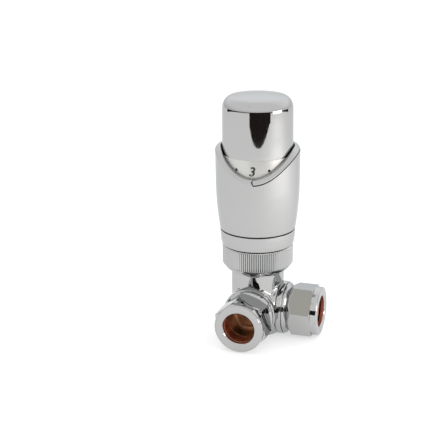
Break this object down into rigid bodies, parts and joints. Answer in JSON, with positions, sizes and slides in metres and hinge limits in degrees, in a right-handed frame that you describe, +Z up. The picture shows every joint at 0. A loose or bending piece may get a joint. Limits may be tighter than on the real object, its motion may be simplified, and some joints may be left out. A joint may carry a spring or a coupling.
{
  "type": "thermostatic radiator valve",
  "caption": "Corner thermostatic radiator valve: polished chrome body with two compression nuts, a knurled union nut and a sensing head whose knob turns behind a scooped sleeve.",
  "frame": {"origin": "where the two pipe axes meet the head's axis, inside the casting", "axes": "+Z up the head, +X out of the radiator connection, -Y out of the supply connection"},
  "size_m": [0.0523, 0.0518, 0.1184],
  "materials": {
    "chrome_on_brass": "polished chrome plate on cast and turned brass",
    "chrome_on_plastic": "polished chrome plate on moulded shells",
    "brass": "turned brass",
    "copper": "drawn copper, slightly dulled",
    "seal_rubber": "moulded seal rubber",
    "stainless_steel": "turned stainless steel and spring wire",
    "dark_plastic": "moulded grey plastic",
    "light_plastic": "moulded white plastic",
    "satin_scale": "satin plated ring with dark printed numbers"
  },
  "bodies": {
    "valve_body": {"valve_body": "chrome_on_brass", "valve_insert": "brass", "insert_o_ring": "seal_rubber", "gland_nut": "brass", "gland_o_ring": "seal_rubber"},
    "stem": {"valve_stem": "stainless_steel", "stem_clip": "stainless_steel", "spring_cup": "stainless_steel", "return_spring": "stainless_steel", "disc_holder": "brass", "seat_washer": "seal_rubber", "disc_nut": "brass"},
    "head": {"head_base": "dark_plastic", "base_collar": "chrome_on_plastic", "outer_sleeve": "chrome_on_plastic", "knob_snap_ring": "stainless_steel"},
    "union_nut": {"union_nut": "chrome_on_brass"},
    "knob": {"knob_cap": "chrome_on_plastic", "knob_hub": "dark_plastic", "scale_ring": "satin_scale"},
    "sensor_carrier": {"sensor_carrier": "light_plastic", "sensor_capsule": "copper"},
    "push_rod": {"sensor_piston": "stainless_steel", "spring_housing": "light_plastic", "overrun_spring": "stainless_steel", "push_rod": "stainless_steel"},
    "supply_olive": {"supply_olive": "copper"},
    "supply_nut": {"supply_nut": "chrome_on_brass"},
    "radiator_olive": {"radiator_olive": "copper"},
    "radiator_nut": {"radiator_nut": "chrome_on_brass"}
  },
  "joints": [
    {"name": "head_lift", "type": "slide", "parent": "valve_body", "child": "head", "axis": [0, 0, 1], "range_m": [0, 0.0075]},
    {"name": "union_nut_turn", "type": "hinge", "parent": "head", "child": "union_nut", "pos_m": [0, 0, 0.02675], "axis": [0, 0, 1], "range_deg": [0, 1801]},
    {"name": "knob_turn", "type": "hinge", "parent": "head", "child": "knob", "pos_m": [0, 0, 0.0905], "axis": [0, 0, 1], "range_deg": [-163, 109]},
    {"name": "carrier_slide", "type": "slide", "parent": "head", "child": "sensor_carrier", "axis": [0, 0, 1], "range_m": [-0.00158, 0.00105]},
    {"name": "sensor_stroke", "type": "slide", "parent": "sensor_carrier", "child": "push_rod", "axis": [0, 0, 1], "range_m": [-0.0002, 0.0013]},
    {"name": "stem_slide", "type": "slide", "parent": "valve_body", "child": "stem", "axis": [0, 0, 1], "range_m": [-0.0016, 0.0011], "deforming": ["return_spring"]},
    {"name": "supply_nut_shift", "type": "slide", "parent": "valve_body", "child": "supply_olive", "axis": [0, -1, 0], "range_m": [0, 0.0068]},
    {"name": "supply_nut_turn", "type": "hinge", "parent": "supply_olive", "child": "supply_nut", "pos_m": [0, -0.0246, 0], "axis": [0, -1, 0], "range_deg": [0, 1351]},
    {"name": "radiator_nut_shift", "type": "slide", "parent": "valve_body", "child": "radiator_olive", "axis": [1, 0, 0], "range_m": [0, 0.0068]},
    {"name": "radiator_nut_turn", "type": "hinge", "parent": "radiator_olive", "child": "radiator_nut", "pos_m": [0.0251, 0, 0], "axis": [1, 0, 0], "range_deg": [0, 1351]}
  ],
  "couplings": [
    {"joint": "union_nut_turn", "follows": "head_lift", "rad_per_m": 4188.8},
    {"joint": "knob_turn", "follows": "carrier_slide", "rad_per_m": 1795.2},
    {"joint": "stem_slide", "follows": "carrier_slide", "ratio": 1},
    {"joint": "supply_nut_turn", "follows": "supply_nut_shift", "rad_per_m": 3465},
    {"joint": "radiator_nut_turn", "follows": "radiator_nut_shift", "rad_per_m": 3465}
  ]
}
